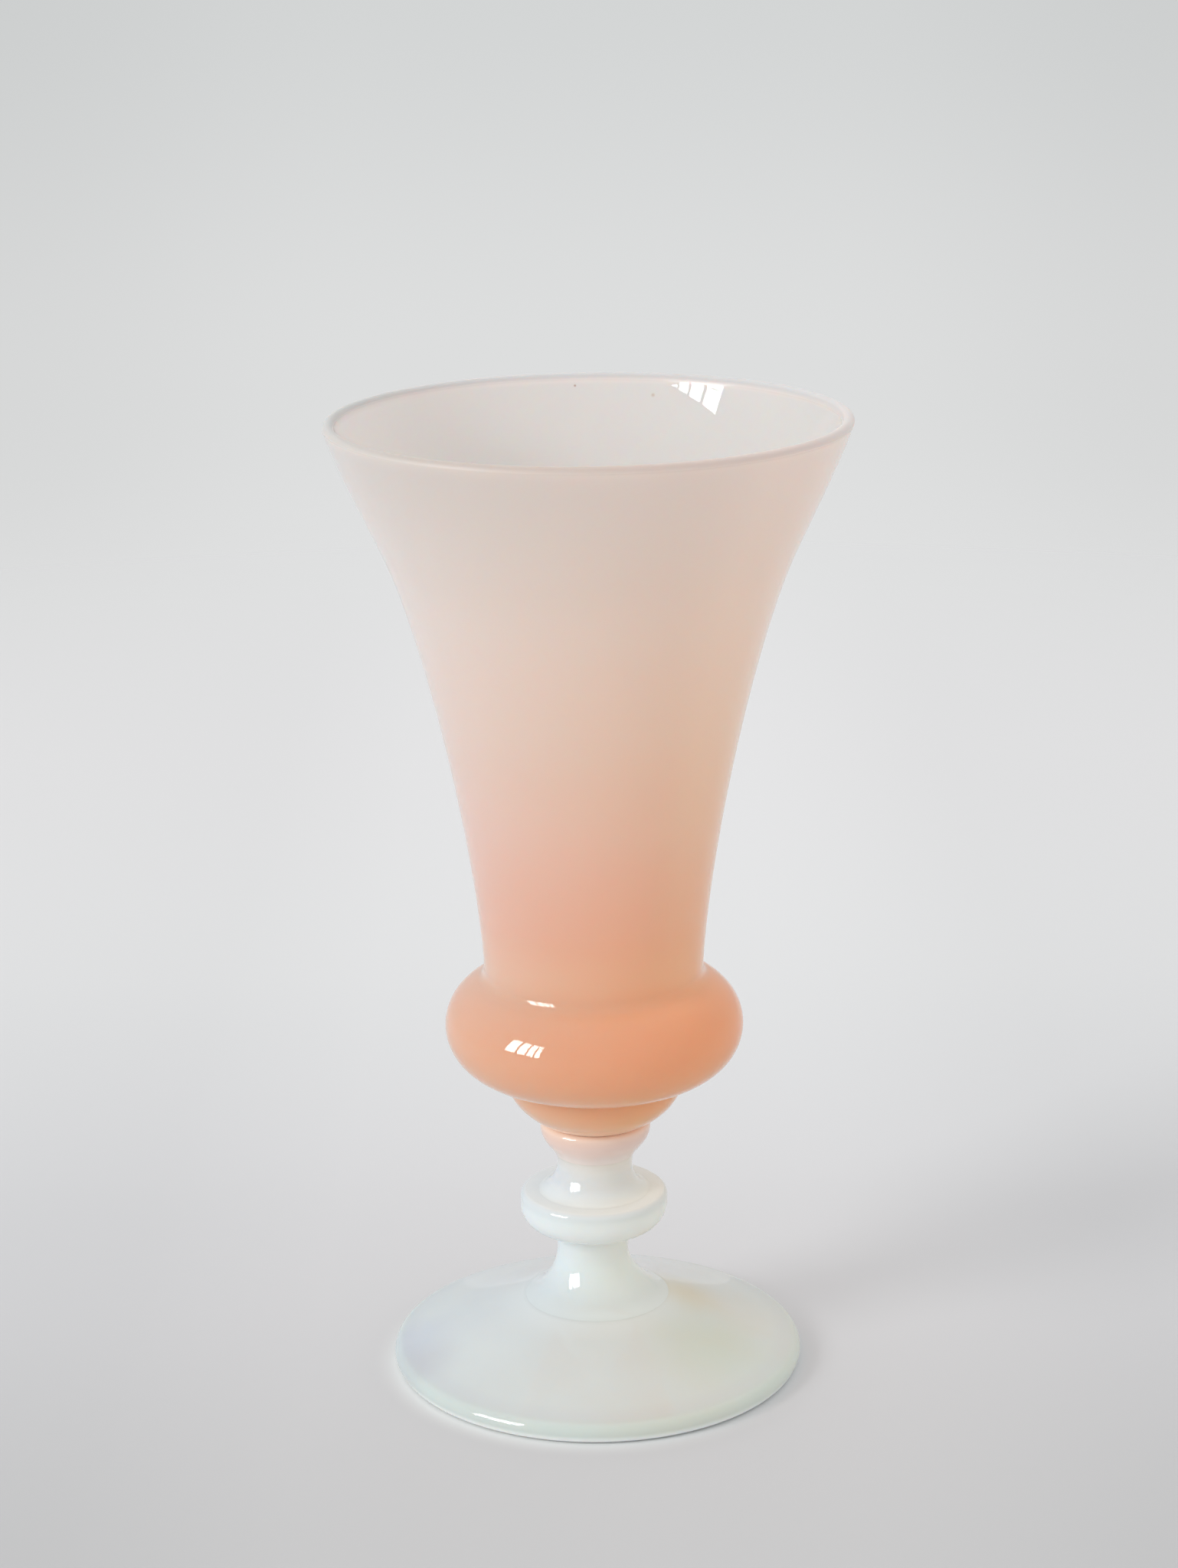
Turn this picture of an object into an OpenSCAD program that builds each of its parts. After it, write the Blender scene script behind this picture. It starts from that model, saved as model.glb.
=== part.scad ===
// Footed vase in opaline glass: a flared bowl over a hollow ring, on a knopped stem and a cone foot.
// Every piece is turned about the vertical axis. Lengths are in millimetres.
// The origin is the centre of the ring that the foot rests on, with +Z up.

/* [Overall] */
// Height of the whole vase, from the table to the top of the lip
height = 200; // [190:1:230]

/* [Bowl] */
// Outer diameter of the mouth
rim_d = 103.8; // [96:0.2:112]
// Lean of the wall at the mouth, in degrees from upright
rim_lean = 19; // [14:1:26]
// How far below the lip the curved wall turns into the straight flare
flare_drop = 27; // [22:1:40]
// Outer diameter where the flare starts
flare_d = 81.4; // [76:0.2:88]
// Lean of the wall where the flare starts, in degrees from upright
flare_lean = 23.6; // [20:0.2:28]
// Outer diameter of the trumpet at the crease above the ring
crease_d = 44.8; // [40:0.2:48]
// Lean of the trumpet's wall just above the crease, in degrees from upright
crease_lean = 2.6; // [0:0.2:8]
// How far the crease stands above the top of the ring
crease_rise = 1.6; // [1:0.1:4]
// Thickness of the glass at the lip
rim_wall = 2.2; // [1.6:0.1:3.2]

/* [Ring] */
// Outer diameter of the hollow ring that swells out below the trumpet
ring_d = 61.2; // [57:0.2:66]
// Height of the ring
ring_h = 21.6; // [18:0.1:26]
// Angle up the ring's side at which the crease starts, in degrees
crease_angle = 62; // [50:1:68]
// Thickness of the glass at the ring
ring_wall = 3.2; // [2.4:0.1:4.2]

/* [Base cup] */
// Outer diameter of the cup that closes the bowl below the ring
cup_d = 37; // [33:0.2:40]
// Height of the cup
cup_h = 12.6; // [11:0.1:16]
// Thickness of the glass at the bottom of the cup
cup_floor = 6; // [4:0.1:7.5]

/* [Collar] */
// Outer diameter of the collar's lip
collar_d = 22.8; // [21.8:0.1:26]
// Thickness of the collar between the stem and the bottom of the cup
collar_floor = 5.1; // [4:0.1:8]
// How far up the cup the collar climbs, in degrees from the cup's lowest point
collar_wrap = 34; // [30:1:38]
// How far the widest line of the lip lies below the collar's edge
collar_edge = 1.2; // [0.8:0.1:2.2]

/* [Stem] */
// Height of the neck, between the knop and the collar
neck_h = 8.1; // [7:0.1:12]
// Diameter of the neck where it joins the collar
neck_d = 16.4; // [15.8:0.1:18]
// Diameter of the neck's spread foot, on top of the knop
neck_foot_d = 23.2; // [19:0.1:25]
// Diameter at the neck's waist
waist_d = 15.7; // [13:0.1:16]
// Height of the waist above the knop
waist_h = 5.2; // [4:0.1:6.5]
// Height of the lower stem, between the knop and the foot
post_h = 15.6; // [13:0.1:22]
// Diameter of the lower stem under the knop
post_d = 14.8; // [12:0.1:17]
// Diameter of the bell that the lower stem ends in
bell_d = 30; // [24:0.2:34]
// Height of the bell
bell_h = 10.4; // [7:0.1:12]

/* [Knop] */
// Diameter of the knop
knop_d = 30.6; // [28:0.1:34]
// Height of the knop
knop_h = 8; // [7.6:0.1:10]
// Radius of the knop's large rounded lower edge
knop_low_r = 4.8; // [3:0.1:5]
// Radius of the knop's small rounded upper edge
knop_top_r = 0.9; // [0.5:0.1:1.4]
// Height of the knop's side, from its underside to the start of the upper rounding
knop_side = 6.2; // [5.4:0.1:6.5]

/* [Foot] */
// Diameter of the foot
foot_d = 85.4; // [78:0.2:92]
// Height of the foot's cone, at the pad that carries the stem
foot_h = 14.1; // [13:0.1:18]
// Thickness of the foot's rounded edge
foot_edge = 4.4; // [3:0.1:5]
// Slope of the cone beside the stem, in degrees
foot_slope = 24; // [20:1:30]
// Slope of the cone at its edge, in degrees
edge_slope = 16; // [10:1:18]
// Width of the flat ring that stands on the table
rest_w = 2.5; // [1.5:0.1:4]
// Depth of the hollow under the foot
hollow_h = 9.6; // [6:0.1:10]
// Diameter of the polished spot in the middle of the hollow
spot_d = 18; // [12:0.2:24]

/* [Hidden] */
$fn = 120;

// Steps along a quarter turn and along a free curve
arc_steps = 12;
curve_steps = 16;

// Angle up to which the knop's upper edge is rounded
knop_top_angle = 75;

// Heights of the joints, from the table up
stem_z = foot_h;
knop_z = stem_z + post_h;
neck_z = knop_z + knop_h;
collar_z = neck_z + neck_h;
cup_z = collar_z + collar_floor;
ring_z = cup_z + cup_h;
crease_z = ring_z + ring_h + crease_rise;
flare_z = height - flare_drop;

// The round lip, and where the outer wall meets it
lip_r = rim_wall / 2;
lip_c = [rim_d / 2 - lip_r, height - lip_r];
lip_start = lip_c + lip_r * [cos(rim_lean), -sin(rim_lean)];

// The rounded edge of the foot, and where the cone meets it
edge_r = foot_edge / 2;
edge_c = [foot_d / 2 - edge_r, edge_r];
edge_start = edge_c + edge_r * [sin(edge_slope), cos(edge_slope)];

// Shares of a curve's span that its end handles reach along their tangents
trumpet_low_share = 0.27;
trumpet_high_share = 0.22;
blend_share = 0.4;
flare_share = 0.3;
cone_share = 0.33;
bell_low_share = 0.35;
bell_high_share = 0.31;

// Directions in which some blends leave and arrive
up = [0, 1];
collar_lip_dir = [-1, 0.25];
collar_flare_dir = [0.55, 1];
neck_foot_dir = [-1, 0.4];
hollow_wall_dir = [-0.85, 0.5];
hollow_top_dir = [-1, 0.1];

function lean(angle) = [sin(angle), cos(angle)];
function unit(v) = v / norm(v);

// Points on an ellipse about c, from one angle to another
function arc(c, size, from, to, steps = arc_steps) =
    [for (i = [0:steps]) let (a = from + (to - from) * i / steps)
        c + [size[0] * cos(a), size[1] * sin(a)]];

// Points on a cubic curve that leaves p along dir_p and reaches q along dir_q
function curve(p, dir_p, q, dir_q, share_p, share_q, steps = curve_steps) =
    let (span = norm(q - p), a = p + unit(dir_p) * span * share_p, b = q - unit(dir_q) * span * share_q)
    [for (i = [0:steps]) let (t = i / steps, s = 1 - t)
        s ^ 3 * p + 3 * s ^ 2 * t * a + 3 * s * t ^ 2 * b + t ^ 3 * q];

function blend(p, dir_p, q, dir_q) = curve(p, dir_p, q, dir_q, blend_share, blend_share, arc_steps);

// A list without its first point, for a curve that starts where the last one ended
function after_first(points) = [for (i = [1:len(points) - 1]) points[i]];
function reversed(points) = [for (i = [len(points) - 1:-1:0]) points[i]];

// The wall thins steadily from the ring to the lip
function wall_at(z) = ring_wall + (rim_wall - ring_wall) * (z - ring_z) / (lip_start[1] - ring_z);

// The bowl's inner face, square to its outer face at each point
function inner_face(points) =
    [for (i = [0:len(points) - 1])
        let (ahead = points[min(i + 1, len(points) - 1)], behind = points[max(i - 1, 0)])
        let (along = i == 0 ? [1, 0] : i == len(points) - 1 ? lean(rim_lean) : unit(ahead - behind))
        points[i] + wall_at(points[i][1]) * [-along[1], along[0]]];

// The ring is an ellipse turned about the axis. Its lowest line is the joint with the cup.
ring_c = [cup_d / 2, ring_z + ring_h / 2];
ring_size = [ring_d / 2 - cup_d / 2, ring_h / 2];
crease_start = ring_c + [ring_size[0] * cos(crease_angle), ring_size[1] * sin(crease_angle)];
crease_dir = [-ring_size[0] * sin(crease_angle), ring_size[1] * cos(crease_angle)];
crease_end = [crease_d / 2, crease_z];
flare_start = [flare_d / 2, flare_z];

bowl_outside = concat(
    arc(ring_c, ring_size, -90, crease_angle, 2 * arc_steps),
    after_first(blend(crease_start, crease_dir, crease_end, lean(crease_lean))),
    after_first(curve(crease_end, lean(crease_lean), flare_start, lean(flare_lean),
        trumpet_low_share, trumpet_high_share, 2 * curve_steps)),
    after_first(curve(flare_start, lean(flare_lean), lip_start, lean(rim_lean), flare_share, flare_share)));

// The cup's outside is one quarter of an ellipse. The collar takes the lowest part of it.
cup_c = [0, ring_z];
cup_size = [cup_d / 2, cup_h];
wrap_angle = collar_wrap - 90;
cup_seat = arc(cup_c, cup_size, -90, wrap_angle);
cup_side = arc(cup_c, cup_size, wrap_angle, 0);
seat_edge = cup_seat[arc_steps];

module turned(outline) {
    rotate_extrude() polygon(outline);
}

// Blown trumpet and hollow ring in one wall, open at the bottom where the cup closes it
module bowl() {
    bottom = [cup_d / 2, ring_z];
    color([0.90, 0.72, 0.64])
        turned(concat(
            bowl_outside,
            after_first(arc(lip_c, [lip_r, lip_r], -rim_lean, 90)),
            after_first(arc(lip_c, [lip_r, lip_r], 90, 180 - rim_lean)),
            after_first(reversed(inner_face(bowl_outside))),
            after_first(arc(bottom, [ring_wall, ring_wall], 90, 180, arc_steps))));
}

// Thick cup that closes the bowl
module base_cup() {
    hollow = [cup_d / 2 - ring_wall, cup_h - cup_floor];
    color([0.90, 0.62, 0.52])
        turned(concat(cup_seat, after_first(cup_side), arc(cup_c, hollow, 0, -90)));
}

// Collar that grips the bottom of the cup and narrows to the stem
module collar() {
    foot_ring = [neck_d / 2, collar_z];
    widest = [collar_d / 2, seat_edge[1] - collar_edge];
    color([0.90, 0.86, 0.82])
        turned(concat(
            [[0, collar_z]],
            blend(foot_ring, collar_flare_dir, widest, up),
            after_first(blend(widest, up, seat_edge, collar_lip_dir)),
            after_first(reversed(cup_seat))));
}

// Drawn-in neck that spreads onto the knop and opens into the collar
module neck() {
    waist = [waist_d / 2, neck_z + waist_h];
    color([0.92, 0.92, 0.90])
        turned(concat(
            [[0, neck_z]],
            blend([neck_foot_d / 2, neck_z], neck_foot_dir, waist, up),
            after_first(blend(waist, up, [neck_d / 2, collar_z], collar_flare_dir)),
            [[0, collar_z]]));
}

// Thick disc with a large round lower edge, a crisp upper edge and a low cone on top
module knop() {
    low_c = [knop_d / 2 - knop_low_r, knop_z + knop_low_r];
    top_c = [knop_d / 2 - knop_top_r, knop_z + knop_side];
    color([0.93, 0.93, 0.91])
        turned(concat(
            [[0, knop_z]],
            arc(low_c, [knop_low_r, knop_low_r], -90, 0),
            arc(top_c, [knop_top_r, knop_top_r], 0, knop_top_angle, arc_steps / 2),
            [[neck_foot_d / 2, neck_z], [0, neck_z]]));
}

// Lower stem: a straight post that spreads like a bell and runs out onto the cone of the foot
module lower_stem() {
    bell_top = [post_d / 2, stem_z + bell_h];
    up_cone = [-cos(foot_slope), sin(foot_slope)];
    color([0.92, 0.92, 0.90])
        turned(concat(
            [[0, stem_z]],
            curve([bell_d / 2, stem_z], up_cone, bell_top, up, bell_low_share, bell_high_share),
            [[post_d / 2, knop_z], [0, knop_z]]));
}

// Shallow cone foot with a rounded edge, hollow underneath
module foot() {
    pad_edge = [bell_d / 2, stem_z];
    rest_in = [edge_c[0] - rest_w, 0];
    spot_edge = [spot_d / 2, hollow_h];
    down = [cos(foot_slope), -sin(foot_slope)];
    down_edge = [cos(edge_slope), -sin(edge_slope)];
    color([0.90, 0.91, 0.92])
        turned(concat(
            [[0, stem_z]],
            curve(pad_edge, down, edge_start, down_edge, cone_share, cone_share),
            after_first(arc(edge_c, [edge_r, edge_r], 90 - edge_slope, 0)),
            after_first(arc(edge_c, [edge_r, edge_r], 0, -90)),
            curve(rest_in, hollow_wall_dir, spot_edge, hollow_top_dir, cone_share, cone_share),
            [[0, hollow_h]]));
}

bowl();
base_cup();
collar();
neck();
knop();
lower_stem();
foot();
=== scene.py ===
import math

import bpy
from mathutils import Matrix, Vector


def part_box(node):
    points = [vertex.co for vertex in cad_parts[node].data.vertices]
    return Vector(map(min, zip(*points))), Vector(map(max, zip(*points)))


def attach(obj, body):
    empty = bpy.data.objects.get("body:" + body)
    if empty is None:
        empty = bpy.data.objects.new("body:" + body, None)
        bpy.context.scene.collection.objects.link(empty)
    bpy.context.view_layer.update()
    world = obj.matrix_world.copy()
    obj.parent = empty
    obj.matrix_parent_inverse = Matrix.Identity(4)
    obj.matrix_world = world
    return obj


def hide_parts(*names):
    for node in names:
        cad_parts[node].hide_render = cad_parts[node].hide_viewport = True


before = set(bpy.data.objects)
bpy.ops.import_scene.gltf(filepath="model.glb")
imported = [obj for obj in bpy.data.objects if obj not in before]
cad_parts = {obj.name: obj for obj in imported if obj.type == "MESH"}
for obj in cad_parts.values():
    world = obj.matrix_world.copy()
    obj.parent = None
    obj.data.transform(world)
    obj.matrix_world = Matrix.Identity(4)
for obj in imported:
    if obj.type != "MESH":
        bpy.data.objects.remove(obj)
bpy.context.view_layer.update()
nodeBox = {name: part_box(name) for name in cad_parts}
print("frame loaded:", ", ".join(sorted(nodeBox)))

mm = 0.001
quarterTurn = 90.0
upward = Vector((0.0, 1.0))

# what all the glass pieces share
turning = {
    "facets": 192,  # flats round a full turn
    "pullIn": 0.005,  # largest share of the radius that the hand-blown wall pulls in by
    "waverScale": 0.7,  # how quickly that changes round the wall
    "waverRise": 30.0,  # how quickly it changes going up
    "seed": 4.0,
    "lipDip": 0.6 * mm,  # how much lower the left of the lip hangs than the right
    "dipFrom": 0.6,  # share of the height from which the left side hangs lower
    "sway": 0.8 * mm,  # how far the stem stands to the left of the middle line
    "swayHeights": (14 * mm, 24 * mm, 51 * mm),  # where the stem's sway begins, is greatest and ends
    "crisp": 35.0,  # edges that bend by more degrees than this aren't shaded smooth
    "weld": 0.001 * mm,  # points of the turned glass nearer than this become one
    "samePoint": 0.0025 * mm,  # points of an outline nearer than this are one
    "jointGap": 0.01 * mm,  # each side of a joint keeps this clear, so that light passes from glass to glass
    "blendShare": 0.4,  # how far an even bend follows each of its two directions, as a share of its span
}


def lowOf(name):
    return nodeBox[name][0].z


def topOf(name):
    return nodeBox[name][1].z


def radiusOf(name):
    return nodeBox[name][1].x


def paint(red, green, blue):
    # a colour as it looks on screen, 0 to 255, in the renderer's linear numbers
    shares = [value / 255 for value in (red, green, blue)]
    return tuple(s / 12.92 if s < 0.04045 else ((s + 0.055) / 1.055) ** 2.4 for s in shares) + (1.0,)


# outlines are lists of (radius, height), drawn up the outside, over the top and down the inside

def lean(angle):
    # direction that leans out from upright by this many degrees
    return Vector((math.sin(math.radians(angle)), math.cos(math.radians(angle))))


def slope(angle):
    # direction that falls outwards at this many degrees
    return Vector((math.cos(math.radians(angle)), -math.sin(math.radians(angle))))


def arcPoints(centre, size, start, end, steps=12):
    points = []
    for i in range(steps + 1):
        angle = math.radians(start + (end - start) * i / steps)
        points.append(centre + Vector((size[0] * math.cos(angle), size[1] * math.sin(angle))))
    return points


def curvePoints(p, leave, q, arrive, leaveShare, arriveShare, steps=16):
    # a smooth run from p to q that sets off in one direction and arrives in another
    span = (q - p).length
    a = p + leave.normalized() * span * leaveShare
    b = q - arrive.normalized() * span * arriveShare
    points = []
    for i in range(steps + 1):
        t = i / steps
        s = 1 - t
        points.append(s ** 3 * p + 3 * s * s * t * a + 3 * s * t * t * b + t ** 3 * q)
    return points


def blendPoints(p, leave, q, arrive, steps=12):
    return curvePoints(p, leave, q, arrive, turning["blendShare"], turning["blendShare"], steps)


def joinRuns(*runs):
    points = []
    for run in runs:
        for point in run:
            if not points or (point - points[-1]).length > turning["samePoint"]:
                points.append(point)
    return points


# Geometry Nodes, and the small helpers that build node trees

def feed(tree, socket, value):
    if isinstance(value, bpy.types.NodeSocket):
        tree.links.new(value, socket)
    else:
        socket.default_value = value


def addNode(tree, kind, inputs=None, **settings):
    node = tree.nodes.new(kind)
    for name, value in settings.items():
        setattr(node, name, value)
    for name, value in (inputs or {}).items():
        feed(tree, node.inputs[name], value)
    return node


def maths(tree, operation, *values):
    node = addNode(tree, "ShaderNodeMath", operation=operation)
    for socket, value in zip(node.inputs, values):
        feed(tree, socket, value)
    return node.outputs[0]


def mapRange(tree, value, fromLow, fromHigh, toLow=0.0, toHigh=1.0, smooth=False):
    node = addNode(tree, "ShaderNodeMapRange", interpolation_type="SMOOTHSTEP" if smooth else "LINEAR")
    names = ("Value", "From Min", "From Max", "To Min", "To Max")
    for name, number in zip(names, (value, fromLow, fromHigh, toLow, toHigh)):
        feed(tree, node.inputs[name], number)
    return node.outputs[0]


def makeTurningTree():
    # turns an outline about the Z axis, with the slight unevenness of glass shaped by hand
    tree = bpy.data.node_groups.new("turnedGlass", "GeometryNodeTree")
    numbers = (
        "Pull In", "Waver Scale", "Waver Rise", "Seed", "Lip Dip", "Dip From", "Dip To", "Sway", "Sway Low",
        "Sway Middle", "Sway High", "Crisp", "Weld", "Inside From",
    )
    sockets = [("Outline", "NodeSocketGeometry"), ("Facets", "NodeSocketInt")]
    sockets += [(name, "NodeSocketFloat") for name in numbers]
    sockets.append(("Glass", "NodeSocketMaterial"))
    for name, kind in sockets:
        tree.interface.new_socket(name, in_out="INPUT", socket_type=kind)
    tree.interface.new_socket("Turned", in_out="OUTPUT", socket_type="NodeSocketGeometry")
    given = addNode(tree, "NodeGroupInput").outputs
    size = addNode(tree, "GeometryNodeAttributeDomainSize", {"Geometry": given["Outline"]})
    count = size.outputs["Point Count"]
    lastPoint = maths(tree, "SUBTRACT", count, 1.0)
    grid = addNode(tree, "GeometryNodeMeshGrid", {
        "Size X": lastPoint, "Size Y": given["Facets"], "Vertices X": count,
        "Vertices Y": maths(tree, "ADD", given["Facets"], 1.0),
    })
    position = addNode(tree, "GeometryNodeInputPosition").outputs[0]
    place = addNode(tree, "ShaderNodeSeparateXYZ", {"Vector": position}).outputs
    index = maths(tree, "ADD", place["X"], maths(tree, "MULTIPLY", lastPoint, 0.5))
    index = maths(tree, "ROUND", index)
    share = maths(tree, "ADD", maths(tree, "DIVIDE", place["Y"], given["Facets"]), 0.5)
    angle = maths(tree, "MULTIPLY", share, -2 * math.pi)
    sampled = addNode(tree, "GeometryNodeSampleIndex", data_type="FLOAT_VECTOR")
    feed(tree, sampled.inputs["Geometry"], given["Outline"])
    feed(tree, sampled.inputs["Value"], position)
    feed(tree, sampled.inputs["Index"], index)
    point = addNode(tree, "ShaderNodeSeparateXYZ", {"Vector": sampled.outputs["Value"]}).outputs
    across = maths(tree, "COSINE", angle)
    along = maths(tree, "SINE", angle)
    roundabout = addNode(tree, "ShaderNodeCombineXYZ", {
        "X": across, "Y": along, "Z": maths(tree, "MULTIPLY", point["Z"], given["Waver Rise"]),
    })
    waver = addNode(tree, "ShaderNodeTexNoise", {
        "Vector": roundabout.outputs[0], "W": given["Seed"], "Scale": given["Waver Scale"], "Detail": 0.0,
    }, noise_dimensions="4D").outputs["Fac"]
    kept = maths(tree, "SUBTRACT", 1.0, maths(tree, "MULTIPLY", waver, given["Pull In"]))
    radius = maths(tree, "MULTIPLY", point["X"], kept)
    leftness = maths(tree, "SUBTRACT", 0.5, maths(tree, "MULTIPLY", across, 0.5))
    rise = mapRange(tree, point["Z"], given["Dip From"], given["Dip To"], smooth=True)
    dip = maths(tree, "MULTIPLY", given["Lip Dip"], maths(tree, "MULTIPLY", leftness, rise))
    begun = mapRange(tree, point["Z"], given["Sway Low"], given["Sway Middle"], smooth=True)
    left = mapRange(tree, point["Z"], given["Sway Middle"], given["Sway High"], 1.0, 0.0)
    sway = maths(tree, "MULTIPLY", given["Sway"], maths(tree, "MULTIPLY", begun, left))
    turned = addNode(tree, "ShaderNodeCombineXYZ", {
        "X": maths(tree, "SUBTRACT", maths(tree, "MULTIPLY", radius, across), sway),
        "Y": maths(tree, "MULTIPLY", radius, along),
        "Z": maths(tree, "SUBTRACT", point["Z"], dip),
    })
    marked = addNode(tree, "GeometryNodeStoreNamedAttribute", {
        "Geometry": grid.outputs["Mesh"], "Name": "inside",
        "Value": maths(tree, "GREATER_THAN", index, given["Inside From"]),
    }, data_type="FLOAT", domain="POINT")
    placed = addNode(tree, "GeometryNodeSetPosition", {
        "Geometry": marked.outputs[0], "Position": turned.outputs[0],
    })
    closed = addNode(tree, "GeometryNodeMergeByDistance", {
        "Geometry": placed.outputs[0], "Distance": given["Weld"],
    })
    smooth = addNode(tree, "GeometryNodeSetShadeSmooth", {"Geometry": closed.outputs[0]})
    bend = addNode(tree, "GeometryNodeInputMeshEdgeAngle").outputs["Unsigned Angle"]
    crisp = addNode(tree, "GeometryNodeSetShadeSmooth", {
        "Geometry": smooth.outputs[0], "Selection": maths(tree, "GREATER_THAN", bend, given["Crisp"]),
        "Shade Smooth": False,
    }, domain="EDGE")
    real = addNode(tree, "GeometryNodeRealizeInstances", {"Geometry": crisp.outputs[0]})
    finished = addNode(tree, "GeometryNodeSetMaterial", {
        "Geometry": real.outputs[0], "Material": given["Glass"],
    })
    tree.links.new(finished.outputs[0], addNode(tree, "NodeGroupOutput").inputs["Turned"])
    return tree


turningTree = makeTurningTree()


def turnGlass(name, outline, glass, node, inner=()):
    # the tree is given a line through the outline and the inner face, and its result becomes a plain mesh
    insideFrom = len(outline) - 0.5
    outline = joinRuns(outline, inner)
    line = bpy.data.meshes.new(name + "_outline")
    line.from_pydata([(p.x, 0.0, p.y) for p in outline], [(i, i + 1) for i in range(len(outline) - 1)], [])
    drawn = bpy.data.objects.new(name + "_outline", line)
    bpy.context.scene.collection.objects.link(drawn)
    swayLow, swayMiddle, swayHigh = turning["swayHeights"]
    values = {
        "Facets": turning["facets"], "Pull In": turning["pullIn"], "Waver Scale": turning["waverScale"],
        "Waver Rise": turning["waverRise"], "Seed": turning["seed"], "Lip Dip": turning["lipDip"],
        "Dip From": topOf("bowl") * turning["dipFrom"], "Dip To": topOf("bowl"), "Sway": turning["sway"],
        "Sway Low": swayLow, "Sway Middle": swayMiddle, "Sway High": swayHigh,
        "Crisp": math.radians(turning["crisp"]), "Weld": turning["weld"], "Inside From": insideFrom,
        "Glass": glass,
    }
    modifier = drawn.modifiers.new("turnedGlass", "NODES")
    modifier.node_group = turningTree
    for item in turningTree.interface.items_tree:
        if item.in_out == "INPUT" and item.name in values:
            modifier[item.identifier] = values[item.name]
    evaluated = drawn.evaluated_get(bpy.context.evaluated_depsgraph_get())
    mesh = bpy.data.meshes.new_from_object(evaluated)
    mesh.name = name
    bpy.data.objects.remove(drawn)
    bpy.data.meshes.remove(line)
    piece = bpy.data.objects.new(name, mesh)
    bpy.context.scene.collection.objects.link(piece)
    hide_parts(node)
    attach(piece, "root")
    print(name, "turned:", len(mesh.vertices), "points")


# opaline glass: milky through and through, glossy, with colour that runs through it unevenly

opaline = {
    "smearScale": 60.0,  # how fine the smears of duller gloss are
    "smearRange": (0.3, 0.7),  # part of the noise between the shiniest and the dullest smear
    "toolMarks": (8.0, 8.0, 900.0),  # how quickly the tool's faint rings change, across and going up
    "axisGuard": 0.1 * mm,  # nearer the middle line than this, no side is told from the other
    "clearCore": 0.2,  # share of a joint's reach where the glass has no milk at all
}


def objectPlace(tree):
    coords = addNode(tree, "ShaderNodeTexCoord").outputs["Object"]
    parts = addNode(tree, "ShaderNodeSeparateXYZ", {"Vector": coords}).outputs
    return coords, parts


def noiseOf(tree, coords, scale, detail=2.0, offset=0.0, stretch=(1.0, 1.0, 1.0)):
    spot = addNode(tree, "ShaderNodeMapping", {
        "Vector": coords, "Location": (offset, offset, offset), "Scale": stretch,
    }).outputs[0]
    return addNode(tree, "ShaderNodeTexNoise", {
        "Vector": spot, "Scale": scale, "Detail": detail, "Roughness": 0.5,
    }).outputs["Fac"]


def rampOf(tree, factor, stops):
    node = addNode(tree, "ShaderNodeValToRGB", {"Fac": factor})
    ramp = node.color_ramp
    ramp.interpolation = "CARDINAL" if len(stops) > 3 else "EASE"
    while len(ramp.elements) < len(stops):
        ramp.elements.new(0.5)
    for element, (spot, colour) in zip(ramp.elements, stops):
        element.position = spot
        element.color = colour
    return node.outputs["Color"]


def mixColours(tree, factor, first, second, blend="MIX"):
    node = addNode(tree, "ShaderNodeMix", data_type="RGBA", blend_type=blend)
    feed(tree, node.inputs["Factor"], factor)
    feed(tree, node.inputs["A"], first)
    feed(tree, node.inputs["B"], second)
    return node.outputs["Result"]


def acrossOf(tree, parts):
    # distance from the upright middle line
    squares = [maths(tree, "POWER", parts[axis], 2.0) for axis in "XY"]
    return maths(tree, "SQRT", maths(tree, "ADD", *squares))


def sideOf(tree, parts, azimuth):
    # 0 on the side of the piece that faces away from this compass angle, 1 on the side that faces it
    facing = maths(
        tree, "ADD", maths(tree, "MULTIPLY", parts["X"], math.cos(math.radians(azimuth))),
        maths(tree, "MULTIPLY", parts["Y"], math.sin(math.radians(azimuth))),
    )
    across = maths(tree, "MAXIMUM", acrossOf(tree, parts), opaline["axisGuard"])
    return mapRange(tree, maths(tree, "DIVIDE", facing, across), -1.0, 1.0)


def rippleBump(tree, coords, shader, strength, distance, scale, turningMarks=0.0):
    # slow waves of hand-blown glass, and the faint rings that a tool leaves as the piece turns
    slow = noiseOf(tree, coords, scale, detail=1.0)
    rings = noiseOf(tree, coords, 1.0, detail=2.0, stretch=opaline["toolMarks"], offset=3.0)
    height = maths(tree, "ADD", slow, maths(tree, "MULTIPLY", rings, turningMarks))
    bump = addNode(tree, "ShaderNodeBump", {"Height": height, "Strength": strength, "Distance": distance})
    tree.links.new(bump.outputs["Normal"], shader.inputs["Normal"])


def startGlass(name, settings):
    material = bpy.data.materials.new(name)
    material.use_nodes = True
    tree = material.node_tree
    shader = tree.nodes["Principled BSDF"]
    for socket, value in settings.items():
        shader.inputs[socket].default_value = value
    return material, tree, shader


def stirred(tree, coords, scale, reach):
    # the same place, pushed about unevenly, so that patches of tint have loose edges
    kind = "ShaderNodeVectorMath"
    swirl = addNode(tree, "ShaderNodeTexNoise", {"Vector": coords, "Scale": scale, "Detail": 2.0})
    centred = addNode(tree, kind, {0: swirl.outputs["Color"], 1: (0.5, 0.5, 0.5)}, operation="SUBTRACT")
    pushed = addNode(tree, kind, {0: centred.outputs[0], "Scale": 2 * reach}, operation="SCALE")
    return addNode(tree, kind, {0: coords, 1: pushed.outputs[0]}, operation="ADD").outputs[0]


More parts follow.
